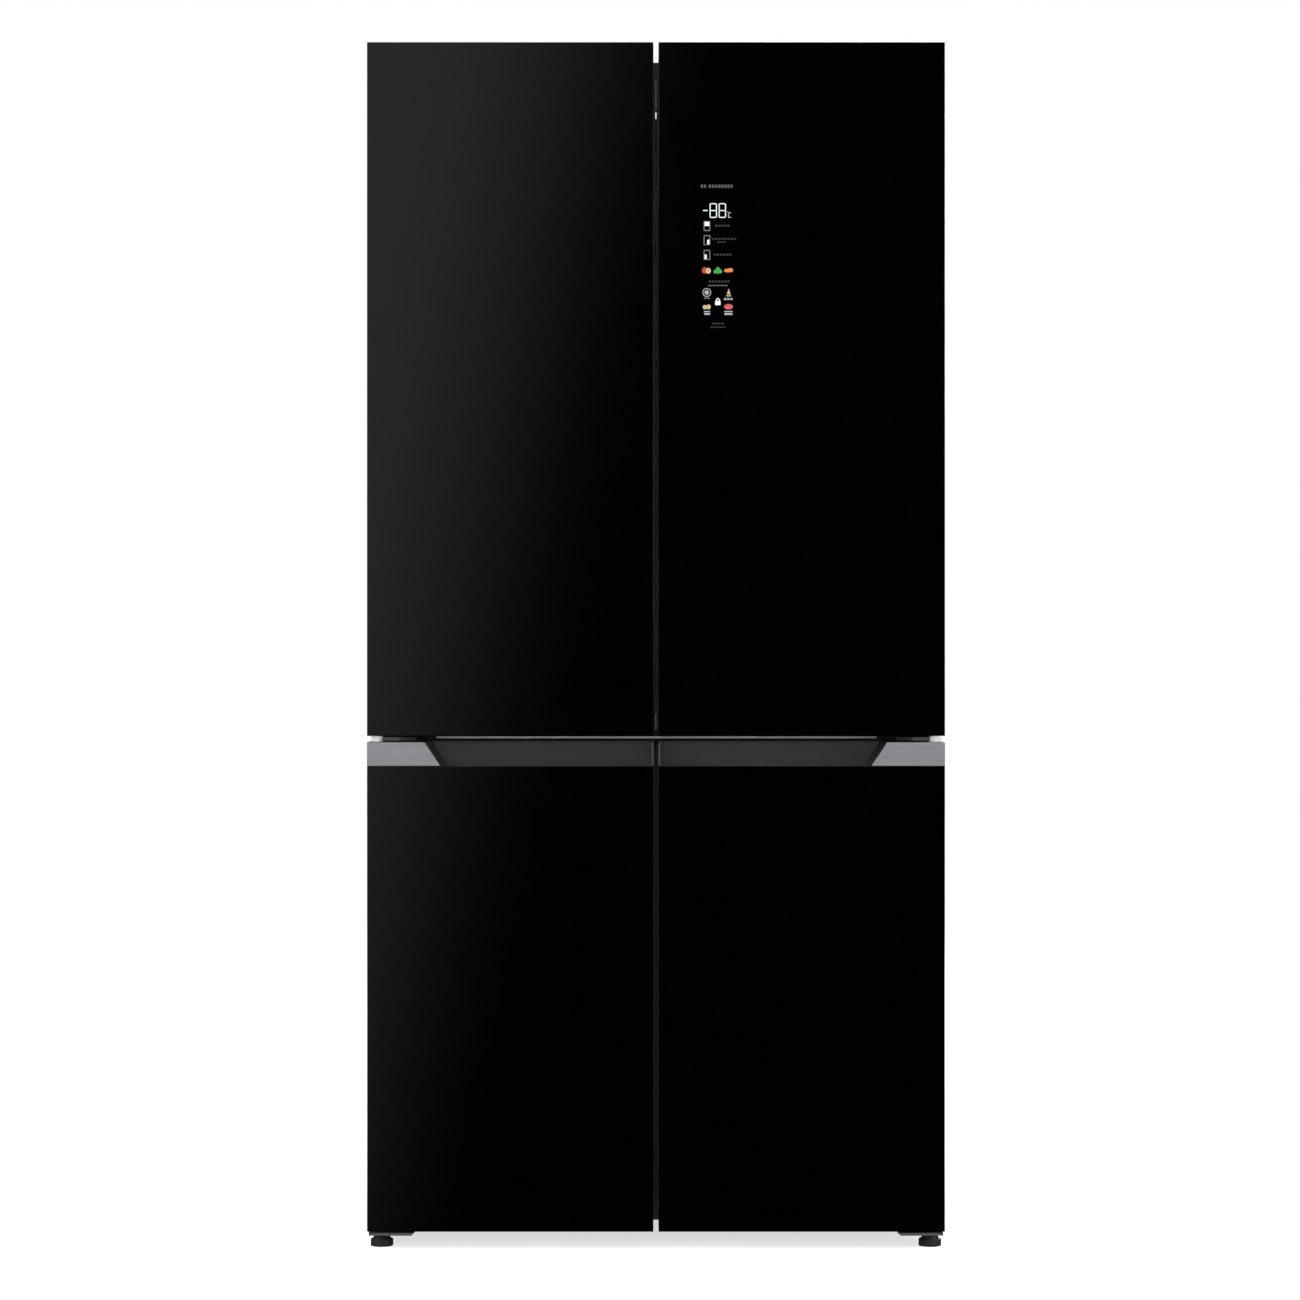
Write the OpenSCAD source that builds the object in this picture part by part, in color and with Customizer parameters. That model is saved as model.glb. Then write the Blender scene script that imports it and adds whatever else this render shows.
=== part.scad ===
// Four-door refrigerator: a wide fridge compartment behind the two upper doors, and below it
// a freezer (left) and a convertible compartment (right), each behind its own door.
// Frame: +Z up, the doors face -Y, the origin is on the floor under the middle. Millimetres.
// Left-hand parts are drawn at negative X, and right-hand parts are their mirror images.

/* [Overall] */
// Width over the closed doors
overall_w = 908; // [890:1:930]
// Depth from the door glass to the ribs of the rear panel
overall_d = 700; // [690:1:740]
// Height to the top edge of the upper doors
overall_h = 1900; // [1880:1:1940]

/* [Doors] */
// Height of the top edge of the lower doors
split_z = 800; // [790:1:804]
// Gap between the upper and the lower doors
row_gap = 10; // [9:1:10]
// Gap between the left and the right doors
door_gap = 8; // [8:1:12]
// Height of the bottom edge of the lower doors
door_base_z = 31; // [31:1:32]
// Thickness of a door without its gasket
door_t = 75; // [73:1:76]
// Thickness of the tempered glass
glass_t = 4; // [3:0.5:4]
// Width of the magnetic gasket
gasket_w = 18; // [16:1:18]

/* [Grips and caps] */
// Height of the bare strip above the lower glass, where the hand goes in
grip_h = 37; // [34:1:40]
// Depth of the grip recess
grip_d = 61; // [50:1:61]
// How far the finger pocket reaches below the top edge of the glass
pocket_h = 18; // [12:1:20]
// Length of the silver corner cap along its bottom edge
cap_len = 115; // [100:1:125]
// Slant of the inner end of the corner cap
cap_slant = 25; // [15:1:30]

/* [Compartments] */
// Half the width of the fridge compartment
fridge_x = 398; // [396:1:400]
// Half the width of the partition between the lower compartments
partition_x = 30; // [28:1:31]
// Height of the glass shelves above the crisper cover
shelf_z = [1230, 1420, 1610];
// Clear height of the machine compartment at the lower back
machine_h = 220; // [215:1:222]

/* [Moving parts] */
// Radius of a door hinge pin
pin_r = 5; // [4.5:0.1:5.5]
// Radial clearance of a turning pin
fit = 0.08; // [0.05:0.01:0.1]
// Number of fan blades
blades = 7; // [5:1:9]

/* [Hidden] */
$fn = 48;
eps = 1;

// Sheet metal and formed liners share one thickness
skin = 1.5;

// Door faces
half_w = overall_w / 2;
front_y = -overall_d / 2;
glass_back = front_y + glass_t;
door_rear = front_y + door_t;
inner_x = door_gap / 2;
upper_base = split_z + row_gap;
glass_top = split_z - grip_h;
edge = 4;
dike_rear = door_rear + 35;
dike_x = [half_w - 66, 62];
bin_x = [half_w - 88, 90];

// Cabinet faces
cab_x = half_w - 2;
cab_front = front_y + 87;
cab_rear = overall_d / 2 - 4;
cab_floor = 36;
cab_top = overall_h - 18;
flange_x = cab_x - 22;
flange_z = [cab_floor + 24, cab_top - 27];
beam_z = [split_z - 8, upper_base + 8];

// Compartments, clear space inside the liners
fridge_z = [beam_z[1] + 24, cab_top - 58];
lower_z = [cab_floor + 60, beam_z[0] - 22];
lower_x = fridge_x - 6;
cavity_rear = 280;
step_y = 110;
step_z = cab_floor + machine_h + 50;
crisper_top = 1038;
cover_z = 1046;
shelf_t = 5;
duct_y = 215;

// Machine compartment
machine_y = 160;
machine_top = cab_floor + machine_h;
tray_t = 3;

// Gaskets, outer edges
gasket_x = [half_w - 15, 19];
gasket_rear = cab_front - 0.3;
upper_gasket = [beam_z[1] + 2, cab_top - 12];
lower_gasket = [cab_floor + 6, beam_z[0] - 2];
lip_x = 0.6;

// Hinge line of every door
hinge_x = half_w - 14;
hinge_y = front_y + 25;
bore_r = pin_r + fit;
pin_len = 25;
pocket_x = hinge_x - 55;
pocket_floor = cab_top - 4;
plate_z = 24;
plate_t = 4.5;

// Flip mullion: a bar on the upper left door that swings shut behind the gap between the upper doors
bar_w = 60;
bar_t = 22.7;
bar_round = 5.5;
bar_front = cab_front + 0.3;
pivot = [-bar_w / 2 + bar_round, bar_front + bar_round];
bar_z = [fridge_z[0] + 9, fridge_z[1] - 21];
lug_t = 4;
follower = [35, 6];
guide_z = fridge_z[1] - 12;

// Feet and rollers
foot_at = [hinge_x - 5, front_y + 60];
foot_r = 17.5;
roller_r = 17;
roller_at = [380, 300];

// Fan in the machine compartment
fan_at = [-60, 252, 125];
fan_r = 66;

// Steel-coloured and plastic-coloured finishes
black_glass = "#151517";
satin_black = "#262628";
white_abs = "#f1f1ee";
clear_grey = "#c9d3d8";
steel = "#9a9c9f";

// A block from one corner to the opposite one
module span(lo, hi) translate(lo) cube(hi - lo);

// The same part on both sides
module both_sides() {
    children();
    mirror([1, 0, 0]) children();
}

// The left-hand part, or its mirror image for the right-hand side
module on_right() mirror([1, 0, 0]) children();

// A rod along X, through the point at
module rod_x(at, r, len) translate(at) rotate([0, 90, 0]) cylinder(r = r, h = len);

// ---------- Cabinet ----------

module outer_shell() color("#3d3f43") difference() {
    span([-cab_x, cab_front, cab_floor], [cab_x, cab_rear, cab_top]);
    span([-cab_x + skin, cab_front + skin, cab_floor + skin],
        [cab_x - skin, cab_rear + eps, cab_top - skin]);
    span([-flange_x, cab_front - eps, flange_z[0]], [flange_x, cab_front + skin + eps, flange_z[1]]);
    span([-cab_x + skin, machine_y, cab_floor - eps], [cab_x - skin, cab_rear + eps, cab_floor + skin + eps]);
}

module back_panel() color("#7c8084") {
    rib_w = 14;
    span([-cab_x, cab_rear, machine_top], [cab_x, cab_rear + skin, cab_top]);
    for (i = [-3:3])
        span([i * 118 - rib_w / 2, cab_rear, machine_top + 60], [i * 118 + rib_w / 2, cab_rear + 4, cab_top - 50]);
}

module insulation_foam() color("#e9dca6") difference() {
    span([-cab_x + skin, cab_front + skin, cab_floor + skin], [cab_x - skin, cab_rear, cab_top - skin]);
    fridge_space(skin);
    both_sides() lower_space(skin);
    span([-cab_x, machine_y, cab_floor], [cab_x, cab_rear + eps, machine_top]);
    beam_channel(0);
}

// Clear space of the fridge compartment, grown on every side but the front
module fridge_space(grow) span(
    [-fridge_x - grow, cab_front - eps, fridge_z[0] - grow], [fridge_x + grow, cavity_rear + grow, fridge_z[1] + grow]);

// Clear space of the left lower compartment; its floor is cut back over the machine compartment
module lower_space(grow) {
    span([-lower_x - grow, cab_front - eps, lower_z[0] - grow],
        [-partition_x + grow, step_y + grow, lower_z[1] + grow]);
    span([-lower_x - grow, cab_front - eps, step_z - grow],
        [-partition_x + grow, cavity_rear + grow, lower_z[1] + grow]);
}

module fridge_liner() color(white_abs) {
    ledge = 12;
    difference() {
        union() {
            fridge_space(skin);
            span([-flange_x, cab_front, beam_z[1]], [flange_x, cab_front + skin, flange_z[1]]);
        }
        fridge_space(0);
        span([-cab_x, cab_front - 2 * eps, cab_floor], [cab_x, cab_front, cab_top]);
    }
    both_sides() for (z = concat([cover_z], shelf_z))
        span([-fridge_x - skin / 2, -145, z - 8], [-fridge_x + ledge, 250, z]);
}

module lower_liner() {
    ledge_z = 428;
    difference() {
        union() {
            lower_space(skin);
            span([-flange_x, cab_front, flange_z[0]], [-partition_x, cab_front + skin, beam_z[0]]);
        }
        lower_space(0);
        span([-cab_x, cab_front - 2 * eps, cab_floor], [0, cab_front, cab_top]);
        span([-partition_x, cab_front - eps, cab_floor], [0, cab_front + skin, cab_top]);
    }
    span([-lower_x - skin / 2, -168, ledge_z], [-lower_x + 24, 200, ledge_z + 8]);
    span([-partition_x - 18, -168, ledge_z], [-partition_x + skin / 2, 200, ledge_z + 8]);
}

module freezer_liner() color(white_abs) lower_liner();
module convertible_liner() color(white_abs) on_right() lower_liner();

// Folded steel channel between the two rows of doors
module beam_channel(hollow) difference() {
    span([-flange_x, cab_front, beam_z[0]], [flange_x, cab_front + 30, beam_z[1]]);
    if (hollow > 0) span([-flange_x - eps, cab_front + skin, beam_z[0] + skin],
        [flange_x + eps, cab_front + 30 + eps, beam_z[1] - skin]);
}
module cross_beam() color("#c4c6c8") beam_channel(1);

module partition_cover() color(satin_black)
    span([-partition_x, cab_front, flange_z[0]], [partition_x, cab_front + skin, beam_z[0]]);

// Ceiling block whose curved groove swings the mullion's pin while the door closes
module mullion_guide() color(white_abs) {
    follower_r = norm(follower);
    follower_rest = [pivot[0] - follower[1], pivot[1] + follower[0]];
    sweep_r = norm(follower_rest + [hinge_x, -hinge_y]);
    groove = 4.2;
    difference() {
        span([-44, cab_front + 1, guide_z], [24, cab_front + 57, fridge_z[1]]);
        translate([pivot[0], pivot[1], guide_z - eps]) difference() {
            cylinder(r = follower_r + groove, h = 9.5, $fn = 96);
            cylinder(r = follower_r - groove, h = 9.5, $fn = 96);
        }
        intersection() {
            translate([-hinge_x, hinge_y, guide_z - eps]) difference() {
                cylinder(r = sweep_r + groove + 0.6, h = 9.5, $fn = 180);
                cylinder(r = sweep_r - groove - 0.6, h = 9.5, $fn = 180);
            }
            span([-60, cab_front - eps, guide_z - 2 * eps], [40, follower_rest[1], fridge_z[1]]);
        }
    }
}

// ---------- Hinges ----------

module top_hinges() color(steel) both_sides() {
    arm_w = 22;
    plate_y = [cab_front + 1, cab_front + 112];
    translate([-hinge_x, hinge_y, cab_top - 22]) cylinder(r = pin_r, h = 23);
    translate([-hinge_x, hinge_y, cab_top]) linear_extrude(4) difference() {
        union() {
            circle(r = arm_w / 2);
            rotate(60) translate([0, 1 - arm_w / 2]) square([80, arm_w - 2]);
            translate([14, plate_y[0] - hinge_y]) square([44, plate_y[1] - plate_y[0]]);
        }
        for (at = [[26, 113], [47, 113], [36, 158]]) translate(at) circle(r = 3.2);
    }
}

// Middle hinge: a pressed plate behind the pin, cut back so that the collar shows in front
mid_plate_z = [split_z + 2.5, upper_base - 2.5];
module mid_plate() translate([0, 0, mid_plate_z[0]]) linear_extrude(mid_plate_z[1] - mid_plate_z[0])
    polygon([[-hinge_x - 10, cab_front], [-hinge_x - 10, hinge_y + 1], [-hinge_x + 11, hinge_y + 1],
        [-hinge_x + 11, hinge_y - 14], [-cab_x + 48, hinge_y - 14], [-cab_x + 72, hinge_y + 10],
        [-cab_x + 72, cab_front]]);

module mid_hinges() color("#4a4b4e") both_sides() {
    translate([-hinge_x, hinge_y, split_z - pin_len]) cylinder(r = pin_r, h = upper_base - split_z + 2 * pin_len);
    mid_plate();
    difference() {
        span([-flange_x + 2, cab_front - 4, beam_z[0] + 1], [-cab_x + 72, cab_front, beam_z[1] - 1]);
        for (x = [14, 40]) translate([-flange_x + x, cab_front - 5, beam_z[0] + 6])
            rotate([-90, 0, 0]) cylinder(r = 2.6, h = 6);
    }
}

module bottom_hinges() color("#4a4b4e") both_sides() {
    plate_x = [-cab_x, -cab_x + 72];
    rear = cab_front + 83;
    translate([-hinge_x, hinge_y, plate_z]) cylinder(r = pin_r, h = door_base_z - plate_z + pin_len);
    difference() {
        translate([0, rear, 0]) rotate([90, 0, 0]) linear_extrude(rear - front_y - 5)
            polygon([[plate_x[0], plate_z], [plate_x[1] - 5, plate_z], [plate_x[1], plate_z + plate_t],
                [plate_x[0], plate_z + plate_t]]);
        translate([-foot_at[0], foot_at[1], plate_z - eps]) cylinder(r = 5 + fit, h = plate_t + 2 * eps);
    }
    for (x = [plate_x[0], plate_x[1] - 4])
        span([x, cab_front + 1, plate_z + plate_t / 2], [x + 4, rear, cab_floor]);
    span([plate_x[0], cab_front + 1, cab_floor - 2], [plate_x[1], rear, cab_floor]);
}

module bush(z, h) translate([-hinge_x, hinge_y, z]) difference() {
    cylinder(r = 10, h = h);
    translate([0, 0, -eps]) cylinder(r = pin_r, h = h + 2 * eps);
}
module hinge_bushes() color("#e9e9e4") both_sides() {
    difference() {
        bush(split_z + 0.4, upper_base - split_z - 0.8);
        mid_plate();
    }
    bush(plate_z + plate_t, door_base_z - plate_z - plate_t - 0.4);
}

module hinge_covers() color(satin_black) both_sides() {
    lo = [-cab_x + 4, cab_front + 5, cab_top];
    hi = [-cab_x + 76, cab_front + 125, overall_h - 1];
    difference() {
        span(lo, hi);
        span(lo + [2.5, -eps, -eps], hi - [2.5, 2.5, 2.5]);
    }
}

// ---------- Inside the cabinet ----------

module air_ducts() color("#e4e6e6") {
    difference() {
        span([-100, cavity_rear - 20, cover_z + 14], [100, cavity_rear, fridge_z[1] - 24]);
        for (z = shelf_z, x = [-1, 1]) translate([x * 52 - 30, cavity_rear - 21, z - 60]) cube([60, 12, 8]);
        span([-94, cavity_rear - 16, cover_z + 20], [94, cavity_rear + eps, fridge_z[1] - 30]);
    }
    both_sides() difference() {
        span([-lower_x, duct_y, step_z], [-partition_x, duct_y + 3, lower_z[1]]);
        for (z = [380, 480, 580, 680], x = [-330, -190])
            translate([x, duct_y - eps, z]) cube([100, 3 + 2 * eps, 9]);
    }
}

module evaporator() color("#b9bcbf") {
    lo = [-355, duct_y + 8, 400];
    size = [288, 48, 290];
    for (i = [0:23]) translate(lo + [4 + i * 12, 0, 0]) cube([1.6, size[1], size[2]]);
    for (y = [14, 34], i = [0:5]) rod_x(lo + [0, y, 25 + i * 48], 4, size[0]);
    for (i = [0, 1]) translate(lo + [i * (size[0] - 4), 0, 0]) cube([4, size[1], size[2]]);
}

module led_lamps() color("#fbfbf4") {
    span([-130, -120, fridge_z[1] - 6], [130, -92, fridge_z[1]]);
    both_sides() {
        span([-fridge_x, -190, 1080], [-fridge_x + 5, -172, 1760]);
        span([-260, -150, lower_z[1] - 5], [-170, -130, lower_z[1]]);
    }
}

module shelf(z) {
    half = fridge_x - 3;
    span([-half, -148, z], [half, 252, z + shelf_t]);
    span([-half, -158, z - 6], [half, -148, z + 9]);
    span([-half, 242, z + shelf_t], [half, 252, z + 16]);
}
module shelf_1() color(clear_grey) shelf(shelf_z[0]);
module shelf_2() color(clear_grey) shelf(shelf_z[1]);
module shelf_3() color(clear_grey) shelf(shelf_z[2]);

module crisper_cover() color(clear_grey) {
    half = fridge_x - 3;
    span([-half, -148, cover_z], [half, 252, cover_z + shelf_t]);
    span([-half, -156, cover_z - 4], [half, -148, cover_z + 8]);
    span([-3, -148, fridge_z[0]], [3, 235, cover_z]);
}

// ---------- Machine compartment ----------

module base_tray() color("#6f7275") {
    wide = cab_x - skin;
    difference() {
        span([-wide, machine_y, cab_floor], [wide, cab_rear, machine_top]);
        span([-wide - eps, machine_y + skin, cab_floor + tray_t], [wide + eps, cab_rear + eps, machine_top - skin]);
    }
    both_sides() for (x = [-14, 11]) difference() {
        union() {
            span([-roller_at[0] + x, roller_at[1] - 12, roller_r], [-roller_at[0] + x + 3, roller_at[1] + 12, cab_floor + 1]);
            rod_x([-roller_at[0] + x, roller_at[1], roller_r], 12, 3);
        }
        rod_x([-roller_at[0] + x - eps, roller_at[1], roller_r], 3 + fit, 3 + 2 * eps);
    }
}

module machine_cover() color("#4b4d50") difference() {
    span([-cab_x, cab_rear, cab_floor], [cab_x, cab_rear + skin, machine_top]);
    for (x = [-300, -120, 60, 240], i = [0:8])
        translate([x, cab_rear - eps, cab_floor + 50 + i * 16]) cube([130, skin + 2 * eps, 6]);
    translate([-400, cab_rear - eps, 90]) rotate([-90, 0, 0]) cylinder(r = 7, h = skin + 2 * eps);
}

module cord_gland() color("#1d1d1f") translate([-400, cab_rear, 90]) rotate([-90, 0, 0]) difference() {
    union() {
        translate([0, 0, -3]) cylinder(r = 9.5, h = 3);
        cylinder(r = 7, h = skin);
        translate([0, 0, skin]) cylinder(r = 9.5, h = 2.5);
    }
    translate([0, 0, -4]) cylinder(r = 4.5, h = 10);
}

module compressor() color("#1c1c1e") translate([-250, 250, cab_floor + tray_t]) {
    translate([0, 0, 12]) intersection() {
        cylinder(r = 70, h = 152);
        translate([0, 0, 76]) sphere(r = 96, $fn = 64);
    }
    difference() {
        span([-95, -55, 12], [95, 55, 16]);
        for (x = [-84, 84], y = [-44, 44]) translate([x, y, 11]) cylinder(r = 4, h = 6);
    }
    for (x = [-84, 84], y = [-44, 44]) translate([x, y, 0]) cylinder(r = 4, h = 18);
    for (x = [-84, 84], y = [-44, 44]) translate([x, y, 0]) cylinder(r = 10, h = 12);
    span([60, -25, 50], [88, 25, 110]);
    for (y = [-20, 14]) rod_x([-92, y, 90], 4, 40);
}

module condenser() color("#55585b") {
    coil = [14, 190, cab_floor + tray_t + 14];
    size = [250, 125, 150];
    side = 2 * fan_r + 18;
    for (i = [0:20]) translate(coil + [3 + i * 12, 0, 0]) cube([1.6, size[1], size[2]]);
    for (y = [30, 95], i = [0:4]) rod_x(coil + [0, y, 20 + i * 27], 4, size[0]);
    for (y = [0, size[1] - 8])
        span([fan_at[0], coil[1] + y, cab_floor + tray_t], [coil[0] + size[0], coil[1] + y + 8, coil[2] + 2]);
    difference() {
        translate(fan_at + [0, -side / 2, -side / 2]) cube([30, side, side]);
        rod_x(fan_at + [-eps, 0, 0], fan_r, 40);
    }
    difference() {
        union() {
            rod_x(fan_at, 18, 10);
            for (a = [45:90:315]) translate(fan_at) rotate([a, 0, 0]) translate([0, -3, 0]) cube([5, 6, fan_r + 2]);
        }
        rod_x(fan_at + [-eps, 0, 0], 2.5 + fit, 12);
    }
}

module fan_rotor() color("#2b2b2d") {
    hub = fan_at + [12, 0, 0];
    rod_x(hub, 17, 14);
    rod_x(fan_at + [1, 0, 0], 2.5, 14);
    for (i = [0:blades - 1]) translate(hub + [7, 0, 0]) rotate([i * 360 / blades, 0, 0]) rotate([0, 0, 24])
        translate([-1, -17, 14]) cube([2, 34, fan_r - 22]);
}

module rear_rollers() color("#2a2a2c") both_sides() {
    rod_x([-roller_at[0] - 9, roller_at[1], roller_r], roller_r, 18);
    rod_x([-roller_at[0] - 15, roller_at[1], roller_r], 3, 30);
}

module foot() translate([-foot_at[0], foot_at[1], 0]) {
    cylinder(r = foot_r, h = 11);
    cylinder(r = foot_r - 4, h = 15);
    cylinder(r = 5, h = plate_z + plate_t);
    for (a = [0:15:345]) rotate(a) translate([foot_r - 1, 0, 1]) cylinder(r = 1.5, h = 9);
}
module foot_left() color("#19191a") foot();
module foot_right() color("#19191a") on_right() foot();

// ---------- Doors (left-hand ones; z = [bottom, top]) ----------

module door_glass(z) span([-half_w, front_y, z[0]], [-inner_x, glass_back, z[1]]);

// Solid corner of a frame that holds a hinge pin
module hinge_corner(z) span([-half_w + edge / 2, glass_back + edge, z[0]], [-hinge_x + 20, hinge_y + 20, z[1]]);

// Corner under the arm of the top hinge
module arm_corner() span([-half_w + edge / 2, glass_back, cab_top - 34], [-pocket_x + edge, door_rear - 6, overall_h - edge / 2]);

module door_ring(z) difference() {
    span([-half_w, glass_back, z[0]], [-inner_x, door_rear, z[1]]);
    span([-half_w + edge, glass_back - eps, z[0] + edge], [-inner_x - edge, door_rear + eps, z[1] - edge]);
}

module hinge_bore(z0, z1) translate([-hinge_x, hinge_y, z0]) cylinder(r = bore_r, h = z1 - z0);

module arm_pocket() span([-half_w - eps, glass_back + edge, pocket_floor], [-pocket_x, door_rear + eps, overall_h + eps]);

module upper_frame() difference() {
    union() {
        door_ring([upper_base, overall_h]);
        arm_corner();
        hinge_corner([upper_base + edge / 2, upper_base + pin_len + 8]);
    }
    arm_pocket();
    hinge_bore(upper_base - eps, upper_base + pin_len + 2);
    hinge_bore(cab_top - 26, overall_h);
}

// Top rail of a lower door, with the grip recess scooped out of it
rail_z = glass_top - pocket_h - 6;
rail_back = glass_back + grip_d + 4;
module top_rail() span([-half_w + edge / 2, glass_back, rail_z], [-inner_x - edge / 2, rail_back, split_z - edge / 2]);

// Outline of the recess seen from the front, with the slanted end beside the cap
module recess_outline(shift) polygon([[-half_w + cap_len - cap_slant + shift, split_z + eps],
    [-inner_x - 3, split_z + eps], [-inner_x - 3, glass_top - pocket_h],
    [-half_w + cap_len + cap_slant * pocket_h / grip_h + shift, glass_top - pocket_h]]);

module grip_recess() {
    back = glass_back + grip_d;
    difference() {
        hull() {
            translate([0, glass_back - 0.5, 0]) rotate([90, 0, 0]) linear_extrude(0.5) recess_outline(0);
            translate([0, back, 0]) rotate([90, 0, 0]) linear_extrude(0.5) recess_outline(7);
        }
        span([-half_w, front_y, glass_top - pocket_h - eps], [0, glass_back + 3, glass_top]);
    }
}

module cap_tongue() span([-half_w + 16, glass_back - eps, glass_top + 8], [-half_w + cap_len - cap_slant - 14,
    glass_back + 6, split_z - 8]);

module lower_frame() difference() {
    union() {
        door_ring([door_base_z, split_z]);
        top_rail();
        hinge_corner([door_base_z + edge / 2, door_base_z + pin_len + 8]);
    }
    grip_recess();
    cap_tongue();
    hinge_bore(split_z - pin_len - 2, split_z + eps);
    hinge_bore(door_base_z - eps, door_base_z + pin_len + 2);
}

// Silver cap at the outer end of the grip, flush with the glass
module corner_cap() {
    translate([0, glass_back, 0]) rotate([90, 0, 0]) linear_extrude(glass_t)
        polygon([[-half_w, glass_top], [-half_w + cap_len, glass_top], [-half_w + cap_len - cap_slant, split_z],
            [-half_w, split_z]]);
    intersection() {
        cap_tongue();
        span([-half_w, front_y + 1, 0], [0, front_y + 50, overall_h]);
    }
}

// Raised rim on the inner face of a door, with a hollow for the bins
module dike(z) difference() {
    translate([0, 0, z[0]]) linear_extrude(z[1] - z[0])
        polygon([[-dike_x[0], door_rear - 0.5], [-dike_x[0] + 5, dike_rear], [-dike_x[1], dike_rear],
            [-dike_x[1] + 13, door_rear - 0.5]]);
    span([-bin_x[0], door_rear, z[0] + 22], [-bin_x[1], dike_rear + eps, z[1] - 22]);
}

module door_core(z) span([-half_w + edge, glass_back, z[0] + edge], [-inner_x - edge, door_rear, z[1] - edge]);

upper_dike = [fridge_z[0] + 4, fridge_z[1] - 12];
lower_dike = [lower_z[0] + 6, lower_z[1] - 6];

// Ears that carry the pins of the flip mullion
module mullion_lug(z) difference() {
    span([-dike_x[1] - 2, pivot[1] - 5.7, z], [pivot[0] + 6.5, pivot[1] + 5.7, z + lug_t]);
    translate([pivot[0], pivot[1], z - eps]) cylinder(r = 2.5 + fit, h = lug_t + 2 * eps);
}

module upper_liner() difference() {
    union() {
        door_core([upper_base, overall_h]);
        dike(upper_dike);
    }
    arm_corner();
    arm_pocket();
    hinge_corner([upper_base, upper_base + pin_len + 8]);
}

module lower_door_liner() difference() {
    union() {
        door_core([door_base_z, split_z]);
        dike(lower_dike);
    }
    top_rail();
    hinge_corner([door_base_z, door_base_z + pin_len + 8]);
}

// Magnetic seal, with a thin lip that closes the gap between the doors; lip_z is its height range
module gasket(z, lip_z) {
    difference() {
        span([-gasket_x[0], door_rear, z[0]], [-gasket_x[1], gasket_rear, z[1]]);
        span([-gasket_x[0] + gasket_w, door_rear - eps, z[0] + gasket_w],
            [-gasket_x[1] - gasket_w, gasket_rear + eps, z[1] - gasket_w]);
    }
    span([-gasket_x[1] - 2, door_rear + 3, lip_z[0]], [-lip_x, door_rear + 5, lip_z[1]]);
}
upper_lip = [upper_base + 7, cab_top - 1];
lower_lip = [cab_floor + 1, split_z - 6];

// Open-topped bin between the two sides of the dike
module door_bin(z, h, depth) {
    wall = 2.5;
    difference() {
        span([-bin_x[0], door_rear, z], [-bin_x[1], door_rear + depth, z + h]);
        span([-bin_x[0] + wall, door_rear + wall, z + 3], [-bin_x[1] - wall, door_rear + depth - wall, z + h + eps]);
    }
}
module upper_bins() for (z = [885, 1215, 1500]) door_bin(z, 110, 100);
module lower_racks() for (z = [150, 450]) door_bin(z, 110, 68);

module upper_left_glass() color(black_glass) door_glass([upper_base, overall_h]);
module upper_left_frame() color(satin_black) upper_frame();
module upper_left_liner() color(white_abs) {
    upper_liner();
    mullion_lug(bar_z[0] - 1 - lug_t);
    mullion_lug(bar_z[1] + 1);
}
module upper_left_gasket() color("#3b3b3d") gasket(upper_gasket, upper_lip);

module upper_right_glass() color(black_glass) on_right() door_glass([upper_base, overall_h]);
module upper_right_frame() color(satin_black) on_right() upper_frame();
module upper_right_liner() color(white_abs) difference() {
    on_right() upper_liner();
    display_module();
}
module upper_right_gasket() color("#3b3b3d") on_right() gasket(upper_gasket, upper_lip);

module lower_left_glass() color(black_glass) door_glass([door_base_z, glass_top]);
module lower_left_frame() color(satin_black) lower_frame();
module lower_left_liner() color(white_abs) lower_door_liner();
module lower_left_gasket() color("#3b3b3d") gasket(lower_gasket, lower_lip);

module lower_right_glass() color(black_glass) on_right() door_glass([door_base_z, glass_top]);
module lower_right_frame() color(satin_black) on_right() lower_frame();
module lower_right_liner() color(white_abs) on_right() lower_door_liner();
module lower_right_gasket() color("#3b3b3d") on_right() gasket(lower_gasket, lower_lip);

module upper_left_bins() color(clear_grey) upper_bins();
module upper_right_bins() color(clear_grey) on_right() upper_bins();
module lower_left_racks() color(clear_grey) lower_racks();
module lower_right_racks() color(clear_grey) on_right() lower_racks();

module display_module() color("#0c0c0d") span([60, glass_back, 1436], [134, glass_back + 12, 1696]);

module corner_cap_left() color("#8d8d90") corner_cap();
module corner_cap_right() color("#8d8d90") on_right() corner_cap();

// The bar is drawn swung shut, and then turned back to its folded rest beside the door
module flip_mullion() color(satin_black)
    translate(pivot) rotate(90) translate(-pivot) {
        span([pivot[0], bar_front, bar_z[0]], [bar_w / 2, bar_front + bar_t, bar_z[1]]);
        span([-bar_w / 2, pivot[1], bar_z[0]], [pivot[0] + eps, bar_front + bar_t, bar_z[1]]);
        translate([pivot[0], pivot[1], bar_z[0]]) cylinder(r = bar_round, h = bar_z[1] - bar_z[0]);
        for (z = [bar_z[0] - 6, bar_z[1] - eps])
            translate([pivot[0], pivot[1], z]) cylinder(r = 2.5, h = 7);
        translate([pivot[0] + follower[0], pivot[1] + follower[1], bar_z[1] - eps]) cylinder(r = 3, h = 17);
    }

// ---------- Drawers ----------

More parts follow.
